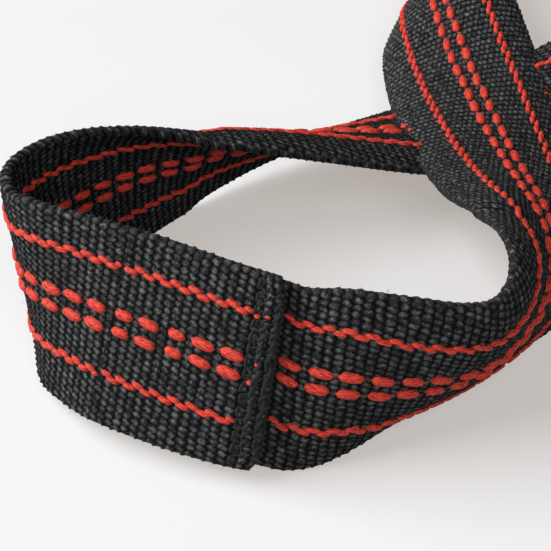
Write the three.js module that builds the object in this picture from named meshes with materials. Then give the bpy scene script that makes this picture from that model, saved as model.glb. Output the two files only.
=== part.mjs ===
import * as THREE from 'three';

// Figure-eight lifting strap: one woven band, its ends lapped and sewn, folded into two lobes.
// Millimetres, +Z up. The strands cross over the origin and lobe one lies towards -X.

// driving sizes
const bandWidth = 38;
const bandThickness = 2.5;
const lobeReach = 115;      // crossing to the far side of a lobe, along X
const lobeSpan = 100;       // widest part of a lobe, along Y
const crossingGap = 2.5;    // between the strands where one passes over the other
const lapLength = 32;       // two layers sewn together
const layerGap = 0.3;       // between these two layers
const lapEase = 12;         // run over which a layer comes away from the other
const lapPlace = 188;       // from the crossing along the band to the lap's free end
const lapTuck = 1.6;        // the hidden layer's upper edge lies this much lower in the lap
const hemWidth = 3.6;       // thick stitched end of the upper layer
const hemRise = 0.7;
const grooveWidth = 1.2;    // stitch line pulled into the cloth beside the hem
const grooveDepth = 0.4;
const settleReach = 1.5;    // an edge that comes this close to the surface lies on it
const sectionStep = 4.8;    // along the band
const acrossSteps = 10;     // across the band

const strandLift = bandThickness + crossingGap;
const halfWidth = bandWidth / 2;
const halfThickness = bandThickness / 2;

// One row for each place along lobe one, from the crossing back to the crossing, lower strand first.
// x is a share of lobeReach, y of lobeSpan, z of bandWidth and lift of strandLift, for the band's middle.
// lean is how far the upper edge leans in over the lobe, in degrees, 90 where the band lies flat.
// archTop and archFoot are how far the upper and lower edge turn in from the band's middle, in degrees.
const lobeRows = [
  { x: -0.06, y: 0.055, z: 0.255, lift: 0, lean: 84, archTop: 24, archFoot: 16 },
  { x: -0.185, y: 0.165, z: 0.35, lift: 0, lean: 71, archTop: 40, archFoot: 18 },
  { x: -0.30, y: 0.28, z: 0.445, lift: 0, lean: 56, archTop: 62, archFoot: 27 },
  { x: -0.425, y: 0.395, z: 0.50, lift: 0, lean: 39, archTop: 80, archFoot: 38 },
  { x: -0.555, y: 0.495, z: 0.50, lift: 0, lean: 16, archTop: 62, archFoot: 40 },
  { x: -0.705, y: 0.555, z: 0.465, lift: 0, lean: 0, archTop: 36, archFoot: 28 },
  { x: -0.875, y: 0.55, z: 0.465, lift: 0, lean: -19, archTop: 8, archFoot: 8 },
  { x: -0.995, y: 0.405, z: 0.56, lift: 0, lean: 10, archTop: -4, archFoot: -6 },
  { x: -0.985, y: 0.22, z: 0.575, lift: 0, lean: 25, archTop: -2, archFoot: -11 },
  { x: -0.985, y: 0.04, z: 0.565, lift: 0, lean: 23, archTop: 2, archFoot: -6 },
  { x: -0.965, y: -0.14, z: 0.535, lift: 0, lean: 19, archTop: 8, archFoot: 12 },
  { x: -0.875, y: -0.29, z: 0.465, lift: 0, lean: -6, archTop: 24, archFoot: 31 },
  { x: -0.745, y: -0.395, z: 0.37, lift: 0, lean: -37, archTop: 52, archFoot: 44 },
  { x: -0.585, y: -0.435, z: 0.41, lift: 0, lean: -12, archTop: 82, archFoot: 54 },
  { x: -0.435, y: -0.385, z: 0.445, lift: 0.6, lean: 31, archTop: 88, archFoot: 56 },
  { x: -0.305, y: -0.28, z: 0.36, lift: 1, lean: 62, archTop: 67, archFoot: 48 },
  { x: -0.185, y: -0.17, z: 0.265, lift: 1, lean: 72, archTop: 46, archFoot: 38 },
  { x: -0.06, y: -0.055, z: 0.24, lift: 1, lean: 84, archTop: 32, archFoot: 31 },
];

// lobe two is lobe one turned half round Z, run the other way, so its upper edge is the same band edge
// as the lower edge of lobe one
function twinRow(row) {
  return { ...row, x: -row.x, y: -row.y, lean: 180 - row.lean, archTop: row.archFoot, archFoot: row.archTop };
}

function makeStation(row) {
  return {
    place: new THREE.Vector3(
      row.x * lobeReach,
      row.y * lobeSpan,
      row.z * bandWidth + row.lift * strandLift,
    ),
    lean: THREE.MathUtils.degToRad(row.lean),
    archTop: THREE.MathUtils.degToRad(row.archTop),
    archFoot: THREE.MathUtils.degToRad(row.archFoot),
  };
}

const stations = [...lobeRows, ...[...lobeRows].reverse().map(twinRow)].map(makeStation);

// closed cubic B-spline through the stations, u counted in rows
function blend(u) {
  const first = Math.floor(u);
  const t = u - first;
  const weights = [
    (1 - t) ** 3 / 6,
    (3 * t ** 3 - 6 * t ** 2 + 4) / 6,
    (-3 * t ** 3 + 3 * t ** 2 + 3 * t + 1) / 6,
    t ** 3 / 6,
  ];
  const slopes = [
    -((1 - t) ** 2) / 2,
    (3 * t ** 2 - 4 * t) / 2,
    (-3 * t ** 2 + 2 * t + 1) / 2,
    t ** 2 / 2,
  ];
  const count = stations.length;
  const result = { place: new THREE.Vector3(), along: new THREE.Vector3(), lean: 0, archTop: 0, archFoot: 0 };
  weights.forEach((weight, k) => {
    const station = stations[(((first + k - 1) % count) + count) % count];
    result.place.addScaledVector(station.place, weight);
    result.along.addScaledVector(station.place, slopes[k]);
    result.lean += station.lean * weight;
    result.archTop += station.archTop * weight;
    result.archFoot += station.archFoot * weight;
  });
  result.along.normalize();
  return result;
}

// lengths along the middle of the band, for even sections
const finePerRow = 24;
const lengthTable = [0];
for (let k = 1; k <= stations.length * finePerRow; k += 1) {
  const a = blend((k - 1) / finePerRow).place;
  const b = blend(k / finePerRow).place;
  lengthTable.push(lengthTable[k - 1] + a.distanceTo(b));
}
const loopLength = lengthTable[lengthTable.length - 1];

// place along the loop, in rows, of a length from the crossing
function rowAt(length) {
  const target = ((length % loopLength) + loopLength) % loopLength;
  let low = 0;
  let high = lengthTable.length - 1;
  while (high - low > 1) {
    const middle = (low + high) >> 1;
    if (lengthTable[middle] > target) high = middle;
    else low = middle;
  }
  const share = (target - lengthTable[low]) / (lengthTable[high] - lengthTable[low]);
  return (low + share) / finePerRow;
}

// the rows run between crossings, so the lower strand crosses half a row before the first station
const crossingLength = lengthTable[lengthTable.length - 1 - finePerRow / 2] - loopLength;

// the band's cross directions at a place: width points to the upper edge of lobe one, face outwards
function frameAt(length) {
  const station = blend(rowAt(length));
  const up = new THREE.Vector3(0, 0, 1).addScaledVector(station.along, -station.along.z).normalize();
  const inward = new THREE.Vector3().crossVectors(up, station.along);
  const width = up.multiplyScalar(Math.cos(station.lean)).addScaledVector(inward, Math.sin(station.lean));
  const face = new THREE.Vector3().crossVectors(station.along, width);
  return { ...station, width, face };
}

// points across the band, arched from its middle, each with the turn of the cloth there
function archPoints(archTop, archFoot, tuck) {
  const steps = acrossSteps / 2;
  const flatReach = halfWidth - halfThickness;
  const points = [{ across: 0, out: 0, turn: 0 }];
  for (const [side, arch, reach] of [[1, archTop, flatReach - tuck], [-1, archFoot, flatReach]]) {
    let across = 0;
    let out = 0;
    for (let k = 1; k <= steps; k += 1) {
      const middleTurn = arch * ((k - 0.5) / steps) ** 2;
      across += side * Math.cos(middleTurn) * (reach / steps);
      out -= Math.sin(middleTurn) * (reach / steps);
      const point = { across, out, turn: side * arch * (k / steps) ** 2 };
      if (side > 0) points.push(point);
      else points.unshift(point);
    }
  }
  return points;
}

function smoothStep(x) {
  return THREE.MathUtils.smoothstep(x, 0, 1);
}

// one closed ring of the band, on the loop at a length, moved out by a layer and raised by a rise
function makeRing(length, layer, rise, tuck) {
  const { place, width, face, archTop, archFoot } = frameAt(length);
  const points = archPoints(archTop, archFoot, tuck);
  const at = (point, sideways, outwards) => {
    const across = point.across + sideways * Math.cos(point.turn) + outwards * Math.sin(point.turn);
    const out = point.out - sideways * Math.sin(point.turn) + outwards * Math.cos(point.turn) + layer;
    return place.clone().addScaledVector(width, across).addScaledVector(face, out);
  };
  const outer = points.map((point) => at(point, 0, halfThickness + rise));
  const inner = points.map((point) => at(point, 0, -halfThickness)).reverse();
  const topEdge = at(points[points.length - 1], halfThickness, 0);
  const footEdge = at(points[0], -halfThickness, 0);
  const ring = [...outer, topEdge, ...inner, footEdge];
  const lowest = Math.min(...ring.map((point) => point.z));
  const settle = lowest * smoothStep(2 - (2 * lowest) / settleReach);
  ring.forEach((point) => { point.z -= settle; });
  return ring;
}

// sections along the band, from its hidden end under the lap to the hemmed free end
function sectionList() {
  const bandLength = loopLength + lapLength;
  const plainEnd = bandLength - hemWidth - grooveWidth;
  const count = Math.round(plainEnd / sectionStep);
  const sections = [];
  for (let k = 0; k <= count; k += 1) sections.push({ run: (plainEnd * k) / count, rise: 0 });
  const hemStart = bandLength - hemWidth;
  sections.push({ run: hemStart - grooveWidth / 2, rise: -grooveDepth });
  sections.push({ run: hemStart + hemWidth * 0.15, rise: hemRise });
  sections.push({ run: hemStart + hemWidth * 0.85, rise: hemRise });
  sections.push({ run: bandLength, rise: 0 });
  return sections;
}

// share of the hidden layer's place that a section still has, from 1 in the lap to 0 beyond it
function hiddenShare(run) {
  return 1 - smoothStep((run - lapLength) / lapEase);
}

function layerShift(run) {
  const half = (bandThickness + layerGap) / 2;
  const joinsAbove = smoothStep((run - loopLength + lapEase) / lapEase);
  return half * joinsAbove - half * hiddenShare(run);
}

function makeWebbingBand() {
  const rings = sectionList().map(({ run, rise }) => {
    const length = crossingLength + lapPlace - lapLength + run;
    return makeRing(length, layerShift(run), rise, lapTuck * hiddenShare(run));
  });
  const side = rings[0].length;
  const positions = rings.flat().flatMap((point) => [point.x, point.y, point.z]);
  const faces = [];
  for (let r = 0; r < rings.length - 1; r += 1) {
    for (let k = 0; k < side; k += 1) {
      const next = (k + 1) % side;
      const a = r * side + k;
      const b = r * side + next;
      faces.push(a, a + side, b, b, a + side, b + side);
    }
  }
  // end caps: outer point k faces inner point side - 2 - k across the thickness
  const last = (rings.length - 1) * side;
  const columns = acrossSteps + 1;
  for (let k = 0; k < columns - 1; k += 1) {
    const facing = side - 2 - k;
    faces.push(k, k + 1, facing, k + 1, facing - 1, facing);
    faces.push(last + k, last + facing, last + k + 1, last + k + 1, last + facing, last + facing - 1);
  }
  faces.push(0, side - 2, side - 1, last, last + side - 1, last + side - 2);
  faces.push(columns - 1, columns, columns + 1, last + columns - 1, last + columns + 1, last + columns);
  const geometry = new THREE.BufferGeometry();
  geometry.setAttribute('position', new THREE.Float32BufferAttribute(positions, 3));
  geometry.setIndex(faces);
  geometry.computeVertexNormals();
  return geometry;
}

const webbing = new THREE.MeshStandardMaterial({ color: 0x1f1f20, roughness: 0.9, metalness: 0 });

const group = new THREE.Group();
const band = new THREE.Mesh(makeWebbingBand(), webbing);
band.name = 'webbing_band';
group.add(band);

export default group;
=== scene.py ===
import math
import random

import bmesh
import bpy
from mathutils import Matrix, Vector


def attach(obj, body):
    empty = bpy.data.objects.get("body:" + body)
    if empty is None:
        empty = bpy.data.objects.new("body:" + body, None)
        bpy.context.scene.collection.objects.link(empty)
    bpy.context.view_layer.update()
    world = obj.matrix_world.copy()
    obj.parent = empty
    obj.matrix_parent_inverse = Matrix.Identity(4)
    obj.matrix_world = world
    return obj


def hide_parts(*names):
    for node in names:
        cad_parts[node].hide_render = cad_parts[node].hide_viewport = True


# Figure-eight lifting strap on a pale table. Metres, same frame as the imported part.

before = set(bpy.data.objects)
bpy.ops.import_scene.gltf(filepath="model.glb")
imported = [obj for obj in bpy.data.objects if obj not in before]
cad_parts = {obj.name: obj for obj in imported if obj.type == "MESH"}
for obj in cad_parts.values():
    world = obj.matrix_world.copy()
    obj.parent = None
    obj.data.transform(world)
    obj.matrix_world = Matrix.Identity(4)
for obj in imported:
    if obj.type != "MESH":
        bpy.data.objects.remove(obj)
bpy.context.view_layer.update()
print("frame loaded, nodes:", ", ".join(sorted(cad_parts)))


# band: the sizes and stations of the part, here in metres
band = {
    "width": 0.038,
    "thickness": 0.0025,
    "lobeReach": 0.115,
    "lobeSpan": 0.100,
    "crossingGap": 0.0025,
    "lapLength": 0.032,
    "layerGap": 0.0003,
    "lapEase": 0.012,
    "lapPlace": 0.188,
    "lapTuck": 0.0016,
    "hemWidth": 0.0036,
    "hemRise": 0.0007,
    "grooveWidth": 0.0012,
    "grooveDepth": 0.0004,
    "settleReach": 0.0015,
}

# x, y and z shares, share of the lift over the lower strand, lean and the arch of both edges in degrees
lobeRows = [
    (-0.06, 0.055, 0.255, 0.0, 84, 24, 16),
    (-0.185, 0.165, 0.35, 0.0, 71, 40, 18),
    (-0.30, 0.28, 0.445, 0.0, 56, 62, 27),
    (-0.425, 0.395, 0.50, 0.0, 39, 80, 38),
    (-0.555, 0.495, 0.50, 0.0, 16, 62, 40),
    (-0.705, 0.555, 0.465, 0.0, 0, 36, 28),
    (-0.875, 0.55, 0.465, 0.0, -19, 8, 8),
    (-0.995, 0.405, 0.56, 0.0, 10, -4, -6),
    (-0.985, 0.22, 0.575, 0.0, 25, -2, -11),
    (-0.985, 0.04, 0.565, 0.0, 23, 2, -6),
    (-0.965, -0.14, 0.535, 0.0, 19, 8, 12),
    (-0.875, -0.29, 0.465, 0.0, -6, 24, 31),
    (-0.745, -0.395, 0.37, 0.0, -37, 52, 44),
    (-0.585, -0.435, 0.41, 0.0, -12, 82, 54),
    (-0.435, -0.385, 0.445, 0.6, 31, 88, 56),
    (-0.305, -0.28, 0.36, 1.0, 62, 67, 48),
    (-0.185, -0.17, 0.265, 1.0, 72, 46, 38),
    (-0.06, -0.055, 0.24, 1.0, 84, 32, 31),
]


def twinRow(row):
    x, y, z, lift, lean, archTop, archFoot = row
    return (-x, -y, z, lift, 180 - lean, archFoot, archTop)


def makeStation(row):
    x, y, z, lift, lean, archTop, archFoot = row
    height = z * band["width"] + lift * (band["thickness"] + band["crossingGap"])
    place = Vector((x * band["lobeReach"], y * band["lobeSpan"], height))
    return place, math.radians(lean), math.radians(archTop), math.radians(archFoot)


stations = [makeStation(row) for row in lobeRows + [twinRow(row) for row in reversed(lobeRows)]]


def smoothStep(x):
    x = min(max(x, 0.0), 1.0)
    return x * x * (3 - 2 * x)


def blendStations(u):
    # closed cubic B-spline, u counted in rows
    first = math.floor(u)
    t = u - first
    weights = ((1 - t) ** 3 / 6, (3 * t ** 3 - 6 * t ** 2 + 4) / 6,
               (-3 * t ** 3 + 3 * t ** 2 + 3 * t + 1) / 6, t ** 3 / 6)
    slopes = (-((1 - t) ** 2) / 2, (3 * t ** 2 - 4 * t) / 2, (-3 * t ** 2 + 2 * t + 1) / 2, t ** 2 / 2)
    place, along = Vector(), Vector()
    lean = archTop = archFoot = 0.0
    for k in range(4):
        station = stations[(first + k - 1) % len(stations)]
        place += station[0] * weights[k]
        along += station[0] * slopes[k]
        lean += station[1] * weights[k]
        archTop += station[2] * weights[k]
        archFoot += station[3] * weights[k]
    return place, along.normalized(), lean, archTop, archFoot


finePerRow = 24
lengthTable = [0.0]
for step in range(1, len(stations) * finePerRow + 1):
    here = blendStations(step / finePerRow)[0]
    before = blendStations((step - 1) / finePerRow)[0]
    lengthTable.append(lengthTable[-1] + (here - before).length)
loopLength = lengthTable[-1]
crossingLength = lengthTable[-1 - finePerRow // 2] - loopLength
bandLength = loopLength + band["lapLength"]
print("band length %.1f mm, loop %.1f mm" % (bandLength * 1000, loopLength * 1000))


def rowAt(length):
    target = length % loopLength
    low, high = 0, len(lengthTable) - 1
    while high - low > 1:
        middle = (low + high) // 2
        if lengthTable[middle] > target:
            high = middle
        else:
            low = middle
    share = (target - lengthTable[low]) / (lengthTable[high] - lengthTable[low])
    return (low + share) / finePerRow


def archAt(across, archTop, archFoot):
    # where a point that lies `across` along the cloth ends up when the section is arched, and how
    # far it turns
    half = band["width"] / 2
    arch = archTop if across > 0 else archFoot
    steps = 8
    x = out = 0.0
    for k in range(steps):
        turn = arch * ((k + 0.5) / steps * across / half) ** 2
        x += math.cos(turn) * across / steps
        out -= math.sin(turn) * abs(across) / steps
    return x, out, math.copysign(arch * (across / half) ** 2, across)


def hiddenShare(run):
    # 1 where the band is the hidden layer of the lap, 0 past it
    return 1 - smoothStep((run - band["lapLength"]) / band["lapEase"])


def layerShift(run):
    half = (band["thickness"] + band["layerGap"]) / 2
    joinsAbove = smoothStep((run - loopLength + band["lapEase"]) / band["lapEase"])
    return half * joinsAbove - half * hiddenShare(run)


def inSection(section, across, out):
    place, width, face, archTop, archFoot, tuck = section
    x, y, turn = archAt(across * (tuck if across > 0 else 1), archTop, archFoot)
    return place + width * (x + out * math.sin(turn)) + face * (y + out * math.cos(turn))


def sectionFrame(run):
    length = crossingLength + band["lapPlace"] - band["lapLength"] + run
    place, along, lean, archTop, archFoot = blendStations(rowAt(length))
    up = (Vector((0, 0, 1)) - along * along.z).normalized()
    inward = up.cross(along)
    width = up * math.cos(lean) + inward * math.sin(lean)
    face = along.cross(width)
    tuck = 1 - band["lapTuck"] / (band["width"] / 2) * hiddenShare(run)
    section = [place + face * layerShift(run), width, face, archTop, archFoot, tuck]
    # the lowest edge settles on the table, with the loops of the weave that stand proud of it
    half, halfThick = band["width"] / 2, band["thickness"] / 2
    inwards = webbing["edgeReach"]
    spots = [(side * (half - inset), out * halfThick)
             for side in (-1, 1) for inset, out in ((0, 0), (inwards, -1), (inwards, 1))]
    lowest = min(inSection(section, across, out).z for across, out in spots) - webbing["proud"]
    section[0].z -= lowest * smoothStep(2 - 2 * lowest / band["settleReach"])
    return section


# webbing: the woven band, with every crown of the weave raised a little
webbing = {
    "relief": 0.00016,
    "proud": 0.0002,  # how far the loops of the edge reach past the band
    "stepsPerPick": 2,
    "edgeReach": 0.0008,  # width of the rounded edge
    "edgePoints": 3,
    "cornerReach": 0.0035,  # the corners of the free end are pulled in by the sewing
    "cornerRun": 0.006,
    "cornerCut": 0.0013,
}
sectionStep = 0.0005
sectionCount = math.ceil(bandLength / sectionStep) + 1
sections = [sectionFrame(min(k * sectionStep, bandLength)) for k in range(sectionCount)]


def onBand(run, across, out):
    # a point of the band: run along it, across from the lower to the upper edge, and out from the
    # middle of its thickness
    corner = smoothStep((abs(across) - band["width"] / 2 + webbing["cornerReach"]) / webbing["cornerReach"])
    run -= webbing["cornerCut"] * corner * smoothStep((run - bandLength) / webbing["cornerRun"] + 1)
    low = min(max(int(run / sectionStep), 0), len(sections) - 3)
    t = run / sectionStep - low
    a, b = sections[low], sections[low + 1]
    section = [a[n].lerp(b[n], t) for n in range(3)] + [a[n] + (b[n] - a[n]) * t for n in (3, 4, 5)]
    return inSection(section, across, out)


def finishPiece(bm, name, material):
    mesh = bpy.data.meshes.new(name)
    bm.to_mesh(mesh)
    bm.free()
    for polygon in mesh.polygons:
        polygon.use_smooth = True
    mesh.materials.append(material)
    piece = bpy.data.objects.new(name, mesh)
    bpy.context.scene.collection.objects.link(piece)
    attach(piece, "root")
    print("%s: %d faces" % (name, len(mesh.polygons)))
    return piece


# weave: crowns stand in columns one pick apart. In each column they are two ends apart, and the next
# column is staggered. A pick is a thread across the band, an end one along it.
weave = {
    "pick": 0.00188,
    "end": 0.00064,
    "crownLength": 0.00207,
    "crownWidth": 0.00151,
    "crownTurn": -0.27,
}
pickCount = round(bandLength / weave["pick"])
pickStep = bandLength / pickCount


def fromHex(text):
    # sRGB hex to linear
    parts = [int(text[k:k + 2], 16) / 255 for k in (1, 3, 5)]
    return tuple(c / 12.92 if c <= 0.04045 else ((c + 0.055) / 1.055) ** 2.4 for c in parts) + (1.0,)


def addNode(tree, kind, settings=None, inputs=None):
    # an input is a value, a socket, or a node that gives its first output
    node = tree.nodes.new(kind)
    for name, value in (settings or {}).items():
        setattr(node, name, value)
    for name, value in (inputs or {}).items():
        value = value.outputs[0] if isinstance(value, bpy.types.Node) else value
        if isinstance(value, bpy.types.NodeSocket):
            tree.links.new(value, node.inputs[name])
        else:
            node.inputs[name].default_value = value
    return node


def newMaterial(name):
    material = bpy.data.materials.new(name)
    material.use_nodes = True
    material.node_tree.nodes.clear()
    return material, material.node_tree


# Thick matt cotton webbing, dyed black. Each crown of the weave is a dull grey bump, worn paler in
# places, and loose fibre breaks up its outline. The pits around the crowns are painted shade: a colour
# darker than the cloth's black fills them. Scales are one over the size in metres: 2300 is fibre 0.43 mm
# long, coarser than the real one, which would not show.
clothLook = {
    "pitShade": "#0d0d0d",
    "crown": "#232221",
    "worn": "#9a9792",
    "shake": 0.0009,
    "shakeScale": 650.0,
    "fibreScale": 2300.0,
    "fibreShare": 2.0,
    "ragged": 0.9,
    "wearScale": 800.0,
    "roughness": 0.75,
    "specular": 0.45,
    "sheen": 0.04,
    "bump": 0.0009,
}


def makeCotton():
    material, tree = newMaterial("black cotton webbing")
    uv = addNode(tree, "ShaderNodeUVMap", {"uv_map": "cloth"})
    coordinates = addNode(tree, "ShaderNodeTexCoord")
    shake = addNode(tree, "ShaderNodeTexNoise", inputs={
        "Vector": coordinates.outputs["Object"], "Scale": clothLook["shakeScale"], "Detail": 1.0})
    shift = addNode(tree, "ShaderNodeVectorMath", {"operation": "SCALE"}, {
        0: shake.outputs["Color"], "Scale": clothLook["shake"]})
    moved = addNode(tree, "ShaderNodeVectorMath", {"operation": "ADD"}, {0: uv, 1: shift})
    # the crowns make two lattices, one between the other. Each gives the distance from its nearest crown
    distances = []
    for start in ((0, 0, 0), (pickStep, weave["end"], 0)):
        lattice = addNode(tree, "ShaderNodeVectorMath", {"operation": "ADD"}, {0: moved, 1: start})
        nearest = addNode(tree, "ShaderNodeVectorMath", {"operation": "WRAP"}, {
            0: lattice, 1: (pickStep, weave["end"], 1), 2: (-pickStep, -weave["end"], -1)})
        flat = addNode(tree, "ShaderNodeVectorMath", {"operation": "MULTIPLY"}, {0: nearest, 1: (1, 1, 0)})
        crown = addNode(tree, "ShaderNodeMapping", {"vector_type": "TEXTURE"}, {
            "Vector": flat, "Rotation": (0, 0, weave["crownTurn"]),
            "Scale": (weave["crownLength"] / 2, weave["crownWidth"] / 2, 1)})
        distance = addNode(tree, "ShaderNodeVectorMath", {"operation": "LENGTH"}, {0: crown})
        distances.append(distance.outputs["Value"])
    away = addNode(tree, "ShaderNodeMath", {"operation": "MINIMUM"}, {0: distances[0], 1: distances[1]})
    rise = addNode(tree, "ShaderNodeMapRange", {"interpolation_type": "SMOOTHSTEP"}, {
        "Value": away, "From Min": 1.0, "From Max": 0.1})
    fibre = addNode(tree, "ShaderNodeTexNoise", inputs={
        "Vector": coordinates.outputs["Object"], "Scale": clothLook["fibreScale"],
        "Detail": 3.0, "Roughness": 0.7})
    ragged = addNode(tree, "ShaderNodeMath", {"operation": "MULTIPLY_ADD"}, {
        0: fibre, 1: clothLook["ragged"], 2: away})
    wear = addNode(tree, "ShaderNodeTexNoise", inputs={
        "Vector": coordinates.outputs["Object"], "Scale": clothLook["wearScale"], "Detail": 2.0})
    wearShare = addNode(tree, "ShaderNodeMath", {"operation": "MULTIPLY"}, {0: wear, 1: fibre})
    worn = addNode(tree, "ShaderNodeMapRange", inputs={
        "Value": wearShare, "From Min": 0.19, "From Max": 0.38})
    crownColour = addNode(tree, "ShaderNodeMix", {"data_type": "RGBA"}, {
        "Factor": worn, 6: fromHex(clothLook["crown"]), 7: fromHex(clothLook["worn"])})
    out = addNode(tree, "ShaderNodeMapRange", {"interpolation_type": "SMOOTHSTEP"}, {
        "Value": ragged, "From Min": 1.45, "From Max": 0.75})
    # painted shade: away from the crowns the colour turns to the darker pit colour, which stands in for the
    # shade in the grooves
    colour = addNode(tree, "ShaderNodeMix", {"data_type": "RGBA"}, {
        "Factor": out, 6: fromHex(clothLook["pitShade"]), 7: crownColour.outputs[2]})
    shine = addNode(tree, "ShaderNodeMapRange", inputs={"Value": out, "To Max": clothLook["specular"]})
    height = addNode(tree, "ShaderNodeMath", {"operation": "MULTIPLY_ADD"}, {
        0: fibre, 1: clothLook["fibreShare"], 2: rise})
    relief = addNode(tree, "ShaderNodeBump", inputs={
        "Height": height, "Distance": clothLook["bump"], "Strength": 0.9})
    cloth = addNode(tree, "ShaderNodeBsdfPrincipled", inputs={
        "Base Color": colour.outputs[2], "Roughness": clothLook["roughness"],
        "Sheen Weight": clothLook["sheen"], "Sheen Roughness": 0.5,
        "Specular IOR Level": shine, "Normal": relief})
    addNode(tree, "ShaderNodeOutputMaterial", inputs={"Surface": cloth})
    return material


# Soft spun cotton yarn, dyed a bright orange-red. It is matt, and its fibres show as fine slanted
# streaks: the paler red on them is a painted highlight and the darker red between them is painted shade.
# The streaks are about 0.25 mm wide, coarser than fibre, so that they show.
yarnLook = {
    "lit": "#ff5741",
    "shaded": "#a00c05",
    "twistPitch": 0.00055,
    "twistSlant": -0.3,
    "roughness": 0.55,
    "specular": 0.25,
    "sheen": 0.03,
    "bump": 0.00010,
    "twistShare": 0.05,
    "blend": (0.36, 0.58),
    "fibreScale": 4200.0,
    "fibreTurn": 0.25,
    "fibreStretch": 0.22,
    "shake": 0.0005,
    "shakeScale": 900.0,
}


def makeYarn(name, look):
    material, tree = newMaterial(name)
    uv = addNode(tree, "ShaderNodeUVMap", {"uv_map": "yarn"})
    coordinates = addNode(tree, "ShaderNodeTexCoord")
    shake = addNode(tree, "ShaderNodeTexNoise", inputs={
        "Vector": coordinates.outputs["Object"], "Scale": look["shakeScale"], "Detail": 1.0})
    place = addNode(tree, "ShaderNodeSeparateXYZ", inputs={"Vector": uv})
    slant = addNode(tree, "ShaderNodeMath", {"operation": "MULTIPLY_ADD"}, {
        0: place.outputs["X"], 1: look["twistSlant"], 2: place.outputs["Y"]})
    moved = addNode(tree, "ShaderNodeMath", {"operation": "MULTIPLY_ADD"}, {
        0: shake, 1: look["shake"], 2: slant})
    turn = addNode(tree, "ShaderNodeMath", {"operation": "MULTIPLY"}, {
        0: moved, 1: 2 * math.pi / look["twistPitch"]})
    twist = addNode(tree, "ShaderNodeMath", {"operation": "SINE"}, {0: turn})
    lengthwise = addNode(tree, "ShaderNodeMapping", inputs={
        "Vector": uv, "Rotation": (0, 0, look["fibreTurn"]), "Scale": (look["fibreStretch"], 1, 1)})
    fibre = addNode(tree, "ShaderNodeTexNoise", inputs={
        "Vector": lengthwise, "Scale": look["fibreScale"], "Detail": 2.0, "Roughness": 0.6})
    share = addNode(tree, "ShaderNodeMath", {"operation": "MULTIPLY_ADD"}, {
        0: twist, 1: look["twistShare"], 2: fibre})
    blend = addNode(tree, "ShaderNodeMapRange", inputs={
        "Value": share, "From Min": look["blend"][0], "From Max": look["blend"][1]})
    # painted highlight and shade: the streak mask mixes a lit copy and a darker, shaded copy of the yarn
    # colour
    colour = addNode(tree, "ShaderNodeMix", {"data_type": "RGBA"}, {
        "Factor": blend, 6: fromHex(look["shaded"]), 7: fromHex(look["lit"])})
    relief = addNode(tree, "ShaderNodeBump", inputs={
        "Height": share, "Distance": look["bump"], "Strength": 0.6})
    yarn = addNode(tree, "ShaderNodeBsdfPrincipled", inputs={
        "Base Color": colour.outputs[2], "Roughness": look["roughness"], "Sheen Weight": look["sheen"],
        "Specular IOR Level": look["specular"], "Normal": relief})
    addNode(tree, "ShaderNodeOutputMaterial", inputs={"Surface": yarn})
    return material


# Thin polyester sewing thread, black, slightly silkier than the cloth. The grey line along each stitch is a
# painted highlight on the twist, with painted shade in its grooves.
threadLook = {
    "lit": "#292827",
    "shaded": "#050505",
    "twistPitch": 0.0005,
    "twistSlant": 0.8,
    "roughness": 0.7,
    "specular": 0.3,
    "sheen": 0.08,
    "bump": 0.0001,
    "twistShare": 0.35,
    "blend": (0.0, 0.6),
    "fibreScale": 4200.0,
    "fibreTurn": -0.5,
    "fibreStretch": 0.3,
    "shake": 0.0005,
    "shakeScale": 900.0,
}

# The same cotton as the webbing where single yarns of it show: matt, with a loose twist; its grey is a
# painted highlight on the twist, with painted shade between.
blackYarnLook = {
    "lit": "#2b2a29",
    "shaded": "#050505",
    "twistPitch": 0.0006,
    "twistSlant": 0.6,
    "roughness": 0.95,
    "specular": 0.3,
    "sheen": 0.08,
    "bump": 0.00015,
    "twistShare": 0.35,
    "blend": (0.0, 0.6),
    "fibreScale": 4200.0,
    "fibreTurn": -0.4,
    "fibreStretch": 0.3,
    "shake": 0.0005,
    "shakeScale": 900.0,
}

cotton = makeCotton()
blackYarn = makeYarn("black cotton yarn", blackYarnLook)
redYarn = makeYarn("red cotton yarn", yarnLook)
blackThread = makeYarn("black sewing thread", threadLook)
print("materials ready: cotton, black yarn, red yarn, thread")


def hemAt(run):
    # extra height of the outer face near the sewn free end
    free = bandLength - run
    if free < band["hemWidth"]:
        share = free / band["hemWidth"]
        return band["hemRise"] * smoothStep(share / 0.2) * smoothStep((1 - share) / 0.2)
    return -band["grooveDepth"] if free < band["hemWidth"] + band["grooveWidth"] else 0.0


def sectionLoop():
    # (across, out, side) once around the section. side is 1 on the outer face, -1 on the inner one and
    # 0 on an edge
    half = band["width"] / 2
    endCount = math.floor((half - webbing["edgeReach"]) / weave["end"])
    across = [weave["end"] * k for k in range(-endCount, endCount + 1)]
    bulge = half - across[-1]
    turns = [math.pi * (k + 1) / (webbing["edgePoints"] + 1) for k in range(webbing["edgePoints"])]
    upper = [(across[-1] + bulge * math.sin(t), math.cos(t), 0) for t in turns]
    lower = [(-x, -out, 0) for x, out, side in upper]
    return [(x, 1.0, 1) for x in across] + upper + [(x, -1.0, -1) for x in reversed(across)] + lower


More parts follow.
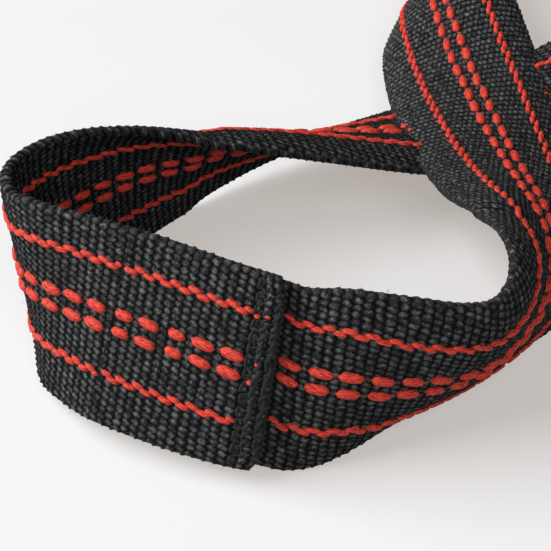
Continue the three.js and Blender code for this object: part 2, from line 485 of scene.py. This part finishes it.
def makeWebbing():
    loop = sectionLoop()
    halfThick = band["thickness"] / 2
    columns = pickCount * webbing["stepsPerPick"]
    bm = bmesh.new()
    uvLayer = bm.loops.layers.uv.new("cloth")
    bmesh.ops.create_grid(bm, x_segments=columns, y_segments=len(loop), size=1)
    bm.verts.index_update()
    spots = [(round((v.co.x + 1) / 2 * columns), round((v.co.y + 1) / 2 * len(loop))) for v in bm.verts]
    for v, (i, j) in zip(bm.verts, spots):
        across, out, side = loop[j % len(loop)]
        run = bandLength * i / columns
        crown = math.cos(math.pi * across / weave["end"]) if side else -1
        crown *= math.cos(math.pi * run / pickStep)
        crown = webbing["relief"] * (crown - 0.5 + 0.5 * math.cos(2 * math.pi * run / pickStep))
        depth = out * halfThick + side * crown
        if side == 1:
            depth += hemAt(run)
        if side == 0:
            across += math.copysign(crown, across)
        v.co = onBand(run, across, depth)
    for face in bm.faces:
        for corner in face.loops:
            i, j = spots[corner.vert.index]
            corner[uvLayer].uv = (bandLength * i / columns, loop[j % len(loop)][0])
    bmesh.ops.remove_doubles(bm, verts=bm.verts, dist=1e-6)
    bmesh.ops.holes_fill(bm, edges=[e for e in bm.edges if e.is_boundary], sides=0)
    bmesh.ops.recalc_face_normals(bm, faces=bm.faces)
    piece = finishPiece(bm, "webbing", cotton)
    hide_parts("webbing_band")
    return piece


makeWebbing()


def addYarns(bm, uvLayer, yarns, spans, sides):
    # closed, round-ended lengths of yarn, cut from one grid. A yarn is (route, wide, high): route(t) gives
    # (run, across, out) on the band for t from 0 to 1, and the direction that counts as up there
    stride = spans + 1
    last = len(yarns) * stride - 1
    made = bmesh.ops.create_grid(bm, x_segments=last, y_segments=sides, size=1)["verts"]
    columns = {v: (round((v.co.x + 1) / 2 * last), round((v.co.y + 1) / 2 * sides)) for v in made}
    faces = {face for v in made for face in v.link_faces}
    bridges = [face for face in faces if len({columns[v][0] // stride for v in face.verts}) > 1]
    bmesh.ops.delete(bm, geom=bridges, context="FACES_ONLY")
    spots = {}
    rings = {}
    for v, (column, j) in columns.items():
        n, i = divmod(column, stride)  # each yarn also starts at its own place in the fibre pattern
        if column not in rings:
            route, wide, high = yarns[n]
            t = i / spans
            middle, up = route(t)
            before, after = route(max(t - 0.02, 0))[0], route(min(t + 0.02, 1))[0]
            along = Vector([b - a for a, b in zip(before, after)]).normalized()
            up = Vector(up)
            sideways = up.cross(along).normalized()
            thick = math.sqrt(max(1 - abs(2 * t - 1) ** 2.6, 0))
            length = math.dist(route(0)[0], route(1)[0])
            rings[column] = (Vector(middle), sideways * wide * thick, up * high * thick,
                             t * length, wide + high)
        middle, sideways, up, distance, girth = rings[column]
        turn = 2 * math.pi * j / sides
        spots[v] = (distance + n * 0.01, girth * turn / 2)
        v.co = onBand(*(middle + sideways * math.cos(turn) + up * math.sin(turn)))
    for face in {face for v in made for face in v.link_faces}:
        for corner in face.loops:
            corner[uvLayer].uv = spots[corner.vert]


def finishYarns(bm, name, material):
    bmesh.ops.remove_doubles(bm, verts=bm.verts, dist=2e-6)
    bmesh.ops.recalc_face_normals(bm, faces=bm.faces)
    return finishPiece(bm, name, material)


# red floats: plump double rows down the middle and a thin zigzag line near each edge, on both faces
floats = {
    "pitch": 0.00564,
    "firstRun": 0.0345,
    "offset": -0.0003,
    "lapSkew": 0.0014,  # the stripes run a little towards the upper edge where the ends are sewn
    "lapSkewMost": 1.6,
    "hiddenStart": 0.054,
    "hiddenEase": 0.013,
    "hemStart": 0.095,
    "hemEase": 0.030,
    "rowShake": 0.00008,
    "endShake": 0.0001,
    "columnShake": 0.00006,
    "stagger": 0.0002,
    "doubleRow": 0.00175,
    "doubleLength": 0.0049,
    "doubleWide": 0.00104,
    "doubleHigh": 0.00085,
    "doubleSlant": 0.0003,
    "singleRow": 0.0106,
    "singleColumns": 0.00032,
    "singlePitch": 0.00376,
    "singleLength": 0.0030,
    "singleWide": 0.00060,
    "singleHigh": 0.00062,
    "singleSlant": 0.0003,
    "hemClear": 0.0047,
    "sewnGap": 0.0003,
    "bitRadius": 0.0004,
    "seed": 8,
}
# sewn rows across the lap: distance from the free end at the upper edge and at the lower one, and
# reach from the middle
stitchRows = (
    (0.0305, 0.0335, 0.0180),
    (0.0202, 0.0208, 0.0060),
)
# red yarn that still shows between the threads of the hem: distance from the free end, across, length
hemBits = (
    (0.0040, 0.0113, 0.0013),
    (0.0020, 0.0118, 0.0012),
    (0.0031, -0.0012, 0.0018),
    (0.0026, 0.0026, 0.0009),
)


def rowOffset(run):
    # how far the stripes lie from where they are woven, towards the upper edge
    fromHidden = min(max((floats["hiddenStart"] - run) / floats["hiddenEase"], 0), floats["lapSkewMost"])
    toHem = smoothStep((run - bandLength + floats["hemStart"]) / floats["hemEase"])
    return floats["offset"] + floats["lapSkew"] * max(fromHidden, toHem)


def shownPart(side, start, end):
    # what shows of a float: it is cut where the other layer of the lap lies on it or the hem begins
    low = band["lapLength"] + 0.0001 if side > 0 else 0.001
    high = bandLength - floats["hemClear"] if side > 0 else loopLength - 0.001
    return max(start, low), min(end, high)


def makeFloat(side, start, end, across, slant, wide, high):
    def route(t):
        middle = (start + (end - start) * t, across - slant * (2 * t - 1), side * band["thickness"] / 2)
        return middle, (0, 0, side)

    return route, wide, high


def cutFloats(side, centre, across, length, slant, wide, high):
    made = []
    start, end = shownPart(side, centre - length / 2, centre + length / 2)
    pieces = [(start, end)]
    for top, bottom, reach in stitchRows if side > 0 else ():
        cut = bandLength - (top + bottom) / 2 - (top - bottom) * across / band["width"]
        if start < cut < end and abs(across) < reach:
            pieces = [(start, cut - floats["sewnGap"]), (cut + floats["sewnGap"], end)]
    for first, last in pieces:
        share = (last - first) / length
        if share > 0.25:
            size = min(1, 0.55 + share / 2)
            made.append(makeFloat(side, first, last, across, slant * share, wide * size, high * size))
    return made


def makeDoubles():
    chance = random.Random(floats["seed"])
    yarns = []
    before = math.ceil(floats["firstRun"] / floats["pitch"])
    after = math.ceil(bandLength / floats["pitch"])
    for k in range(-before, after):
        for side in (1, -1):
            for n, row in enumerate((floats["doubleRow"], -floats["doubleRow"])):
                centre = floats["firstRun"] + (k + (0.5 if side < 0 else 0)) * floats["pitch"]
                across = rowOffset(centre) + row + chance.gauss(0, floats["rowShake"])
                middle = centre - n * floats["stagger"] + chance.gauss(0, floats["endShake"])
                yarns += cutFloats(side, middle, across,
                                   floats["doubleLength"] * chance.uniform(0.93, 1.04),
                                   side * floats["doubleSlant"] * chance.uniform(0.5, 1.4),
                                   floats["doubleWide"] * chance.uniform(0.92, 1.06), floats["doubleHigh"])
    bm = bmesh.new()
    addYarns(bm, bm.loops.layers.uv.new("yarn"), yarns, 7, 7)
    finishYarns(bm, "red_double_floats", redYarn)


def makeSingles():
    chance = random.Random(floats["seed"] + 1)
    yarns = []
    for k in range(math.ceil(2 * bandLength / floats["singlePitch"])):
        for side in (1, -1):
            for row in (floats["singleRow"], -floats["singleRow"]):
                centre = (k / 2 + 0.25) * floats["singlePitch"] + chance.gauss(0, floats["rowShake"])
                column = floats["singleColumns"] * (1 if k % 2 else -1)
                across = rowOffset(centre) + row + column + chance.gauss(0, floats["columnShake"])
                yarns += cutFloats(side, centre, across,
                                   floats["singleLength"] * chance.uniform(0.88, 1.06),
                                   side * floats["singleSlant"] * chance.uniform(0.6, 1.3),
                                   floats["singleWide"] * chance.uniform(0.9, 1.08), floats["singleHigh"])
    for free, across, length in hemBits:
        start = bandLength - free - length / 2
        radius = floats["bitRadius"]
        yarns.append(makeFloat(1, start, start + length, across, 0, radius, radius + band["hemRise"]))
    bm = bmesh.new()
    addYarns(bm, bm.loops.layers.uv.new("yarn"), yarns, 6, 6)
    finishYarns(bm, "red_single_floats", redYarn)


makeDoubles()
makeSingles()


# selvedge: at every second pick the weft turns round the edge and shows as a small slanted loop
selvedge = {
    "reach": 0.00022,
    "radius": 0.00058,
    "lean": 0.0006,
    "runShake": 0.00006,
    "edgeShake": 0.00005,
    "seed": 3,
}


def makeSelvedge():
    chance = random.Random(selvedge["seed"])
    half, halfThick = band["width"] / 2, band["thickness"] / 2
    yarns = []
    for k in range(1, pickCount):
        for edge in (1, -1):
            run = k * pickStep + chance.gauss(0, selvedge["runShake"])
            lean = selvedge["lean"] * chance.uniform(0.6, 1.3)
            radius = selvedge["radius"] * chance.uniform(0.85, 1.1)
            centre = half - webbing["edgeReach"] + chance.gauss(0, selvedge["edgeShake"])

            def route(t, run=run, edge=edge, lean=lean, centre=centre):
                turn = math.pi * (t - 0.5) * 0.95
                across = centre + (webbing["edgeReach"] - selvedge["reach"]) * math.cos(turn)
                out = (halfThick - selvedge["reach"]) * math.sin(turn)
                middle = (run + lean * (2 * t - 1), edge * across, out)
                return middle, (0, edge * math.cos(turn), math.sin(turn))

            yarns.append((route, radius, radius))
    bm = bmesh.new()
    addYarns(bm, bm.loops.layers.uv.new("yarn"), yarns, 6, 5)
    finishYarns(bm, "selvedge_loops", blackYarn)


makeSelvedge()


# seam: stitches on the lap, all in black thread; distances are from the free end
seam = {
    "needlePlace": 0.0046,
    "needleStitch": 0.0025,
    "needleRadius": 0.00036,
    "needleShake": 0.00018,
    "needleLift": 0.0002,
    "bridgePitch": 0.00175,
    "bridgeRadius": 0.00019,
    "bridgeHeight": 0.0004,
    "bridgeShake": 0.0003,
    "ropePlace": 0.0025,
    "ropeSwing": 0.0004,
    "ropePitch": 0.0035,
    "ropeRadius": 0.00036,
    "ropeShake": 0.00012,
    "ropeSink": 0.0002,
    "chainPlace": 0.0006,
    "chainSwing": 0.00035,
    "chainRadius": 0.00032,
    "chainHeight": 0.0005,
    "wrapPitch": 0.0009,
    "wrapRadius": 0.00042,
    "wrapBack": 0.0005,
    "wrapBow": 0.0004,
    "wrapHigh": 0.0009,
    "wrapShake": 0.0001,
    "rowStitch": 0.0030,
    "rowRadius": 0.00016,
    "rowGap": 0.0002,
    "rowSink": 0.00005,
    "edgeInset": 0.0007,
    "seed": 21,
}


def makeStitch(start, end, free, freeEnd, out, radius):
    # one stitch from across `start` to across `end`, bowed a little out of the cloth
    def route(t):
        place = bandLength - free - (freeEnd - free) * t
        height = band["thickness"] / 2 + out + radius * (math.sin(math.pi * t) - 0.5)
        return (place, start + (end - start) * t, height), (0, 0, 1)

    return route, radius, radius


def makeWrap(across):
    # thread round the cut end, from the outer face to the inner one
    def route(t):
        turn = math.pi * (t - 0.5)
        run = bandLength - seam["wrapBack"] + seam["wrapBow"] * math.cos(turn)
        middle = (run, across + seam["wrapBow"] * t, seam["wrapHigh"] * math.sin(turn))
        return middle, (math.cos(turn), 0, math.sin(turn))

    return route, seam["wrapRadius"], seam["wrapRadius"]


def makeRope(place, swing, pitch, radius, start, end, strand, height, phase):
    # one of two strands that turn round each other, a little unevenly
    def route(t):
        across = start + (end - start) * t
        shake = math.sin(across * 700 + phase) + math.sin(across * 1630 + 2 * phase)
        turn = 2 * math.pi * (across / pitch + strand) + 0.6 * shake
        out = band["thickness"] / 2 + height + swing * 0.7 * math.sin(turn)
        run = bandLength - place - swing * math.cos(turn) + seam["ropeShake"] * shake
        return (run, across, out), (0, 0, 1)

    return route, radius, radius


def makeSeam():
    chance = random.Random(seam["seed"])
    reach = band["width"] / 2 - seam["edgeInset"]
    stitches = []
    count = round(2 * reach / seam["needleStitch"])
    step = 2 * reach / count
    for k in range(count):
        start = -reach + k * step
        shake = chance.gauss(0, seam["needleShake"])
        stitches.append(makeStitch(start + 0.0001, start + step * 0.97, seam["needlePlace"] + shake,
                                   seam["needlePlace"] - shake,
                                   chance.uniform(-seam["needleLift"], seam["needleLift"]),
                                   seam["needleRadius"] * chance.uniform(0.75, 1.15)))
    count = round(2 * reach / seam["bridgePitch"])
    step = 2 * reach / count
    for k in range(count):
        start = -reach + (k + 0.3) * step
        shake = chance.gauss(0, seam["bridgeShake"])
        for near, far, height in (("needlePlace", "ropePlace", 0.0),
                                  ("ropePlace", "chainPlace", seam["bridgeHeight"])):
            stitches.append(makeStitch(start + shake, start + step * 0.5, seam[near], seam[far],
                                       height, seam["bridgeRadius"]))
    for top, bottom, rowReach in stitchRows:
        count = round(2 * rowReach / seam["rowStitch"])
        step = 2 * rowReach / count
        for k in range(count):
            start = -rowReach + k * step
            free = (top + bottom) / 2 + (top - bottom) * (start + step / 2) / band["width"]
            stitches.append(makeStitch(start + seam["rowGap"], start + step - seam["rowGap"], free, free,
                                       -seam["rowSink"], seam["rowRadius"]))
    for k in range(round(2 * reach / seam["wrapPitch"])):
        stitches.append(makeWrap(-reach + k * seam["wrapPitch"] + chance.gauss(0, seam["wrapShake"])))
    ropes = []
    for strand in (0, 0.5):
        ropes.append(makeRope(seam["ropePlace"], seam["ropeSwing"], seam["ropePitch"], seam["ropeRadius"],
                              -reach, reach, strand, band["hemRise"] - seam["ropeSink"],
                              chance.uniform(0, 6)))
        ropes.append(makeRope(seam["chainPlace"], seam["chainSwing"], seam["ropePitch"],
                              seam["chainRadius"], -reach, reach, strand + 0.25, seam["chainHeight"],
                              chance.uniform(0, 6)))
    bm = bmesh.new()
    uvLayer = bm.loops.layers.uv.new("yarn")
    addYarns(bm, uvLayer, stitches, 6, 6)
    addYarns(bm, uvLayer, ropes, 120, 7)
    finishYarns(bm, "lap_stitching", blackThread)


makeSeam()


# stray fibre: short hairs that stand off the cloth, most of them along the edges
hairs = {
    "count": 2200,
    "shortest": 0.0004,
    "longest": 0.0015,
    "radius": 0.00002,
    "clear": 0.002,  # none this near the table
    "edgeShare": 0.6,
    "edgeSpread": 0.0004,
    "seed": 5,
}


def makeHairs():
    chance = random.Random(hairs["seed"])
    half, halfThick = band["width"] / 2, band["thickness"] / 2
    yarns = []
    for k in range(hairs["count"]):
        run = chance.uniform(0.001, bandLength - 0.001)
        side = chance.choice((-1, 1))
        onEdge = chance.random() < hairs["edgeShare"]
        if onEdge:
            across = chance.choice((-1, 1)) * (half - abs(chance.gauss(0, hairs["edgeSpread"])))
        else:
            across = chance.uniform(-half, half)
        surface = halfThick * (chance.uniform(0, 0.8) if onEdge else 1)
        length = chance.uniform(hairs["shortest"], hairs["longest"])
        heading = chance.uniform(0, 2 * math.pi)
        lift = chance.uniform(0.2, 0.7)
        curl = chance.uniform(-1.5, 1.5)
        hidden = run < band["lapLength"] if side > 0 else run > loopLength
        if hidden or onBand(run, across, side * surface).z < hairs["clear"]:
            continue

        def route(t, run=run, across=across, side=side, surface=surface, length=length, heading=heading,
                  lift=lift, curl=curl):
            turn = heading + curl * t
            return ((run + length * t * math.cos(turn), across + length * t * math.sin(turn),
                     side * (surface + length * lift * math.sin(math.pi * 0.75 * t))), (0, 0, side))

        yarns.append((route, hairs["radius"], hairs["radius"]))
    bm = bmesh.new()
    addYarns(bm, bm.loops.layers.uv.new("yarn"), yarns, 4, 3)
    finishYarns(bm, "stray_fibre", blackYarn)


makeHairs()


# table, camera and light: a wide soft light from high on the left, a weaker one from the front, and a
# table that glows a little so that the shadows on it stay pale
stage = {
    "floor": "#c6c8ca",
    "glow": "#fff6ec",
    "glowStrength": 0.42,
    "world": "#fff6ee",
    "worldStrength": 0.03,
    "worldSeen": 0.62,
    "lightColour": "#f4f8ff",
    "keyPower": 37.5,
    "keySize": 1.6,
    "keyPlace": (-0.66, 1.07, 1.03),
    "fillPower": 8.6,
    "fillSize": 0.9,
    "fillPlace": (-1.0, -0.79, 1.03),
    "cameraPlace": (-0.2929, -0.1248, 0.2047),
    "cameraAim": (-0.0817, 0.0059, 0.0175),
    "roll": -1.21,
    "lens": 103.6,
}


def makeFloor():
    # matt white paper on a table: it takes soft shadows and shows no reflections
    material, tree = newMaterial("pale glowing table")
    coordinates = addNode(tree, "ShaderNodeTexCoord")
    grain = addNode(tree, "ShaderNodeTexNoise", inputs={
        "Vector": coordinates.outputs["Object"], "Scale": 300.0, "Detail": 2.0})
    relief = addNode(tree, "ShaderNodeBump", inputs={"Height": grain, "Distance": 0.00005, "Strength": 0.2})
    # the glow is only seen, it does not light the strap from below
    ray = addNode(tree, "ShaderNodeLightPath")
    seen = addNode(tree, "ShaderNodeMapRange", inputs={
        "Value": ray.outputs["Is Camera Ray"], "To Max": stage["glowStrength"]})
    paper = addNode(tree, "ShaderNodeBsdfPrincipled", inputs={
        "Base Color": fromHex(stage["floor"]), "Roughness": 0.7, "Specular IOR Level": 0.3,
        "Normal": relief, "Emission Color": fromHex(stage["glow"]), "Emission Strength": seen})
    addNode(tree, "ShaderNodeOutputMaterial", inputs={"Surface": paper})
    bm = bmesh.new()
    bmesh.ops.create_grid(bm, x_segments=1, y_segments=1, size=4)
    mesh = bpy.data.meshes.new("floor")
    bm.to_mesh(mesh)
    bm.free()
    mesh.materials.append(material)
    floor = bpy.data.objects.new("floor", mesh)
    bpy.context.scene.collection.objects.link(floor)


def makeLight(name, power, size, place):
    lamp = bpy.data.lights.new(name, "AREA")
    lamp.energy = power
    lamp.color = fromHex(stage["lightColour"])[:3]
    lamp.size = size
    light = bpy.data.objects.new(name, lamp)
    light.location = place
    light.rotation_euler = (-Vector(place)).to_track_quat("-Z", "Y").to_euler()
    bpy.context.scene.collection.objects.link(light)


def makeCamera():
    data = bpy.data.cameras.new("camera")
    data.lens = stage["lens"]
    data.sensor_width = 36
    camera = bpy.data.objects.new("camera", data)
    place, aim = Vector(stage["cameraPlace"]), Vector(stage["cameraAim"])
    turn = (aim - place).to_track_quat("-Z", "Y").to_matrix().to_4x4()
    roll = Matrix.Rotation(math.radians(stage["roll"]), 4, "Z")
    camera.matrix_world = Matrix.Translation(place) @ turn @ roll
    bpy.context.scene.collection.objects.link(camera)
    bpy.context.scene.camera = camera


def makeWorld():
    world = bpy.data.worlds.new("soft room")
    world.use_nodes = True
    world.node_tree.nodes.clear()
    # a pale backdrop where the camera sees past the table, though hardly any light comes from it
    ray = addNode(world.node_tree, "ShaderNodeLightPath")
    seen = addNode(world.node_tree, "ShaderNodeMapRange", inputs={
        "Value": ray.outputs["Is Camera Ray"],
        "To Min": stage["worldStrength"], "To Max": stage["worldSeen"]})
    glow = addNode(world.node_tree, "ShaderNodeBackground", inputs={
        "Color": fromHex(stage["world"]), "Strength": seen})
    addNode(world.node_tree, "ShaderNodeOutputWorld", inputs={"Surface": glow.outputs["Background"]})
    bpy.context.scene.world = world


makeFloor()
makeLight("key", stage["keyPower"], stage["keySize"], stage["keyPlace"])
makeLight("fill", stage["fillPower"], stage["fillSize"], stage["fillPlace"])
makeCamera()
makeWorld()
bpy.context.scene.view_settings.view_transform = "Standard"
print("table, lights and camera ready")

print("scene ready")
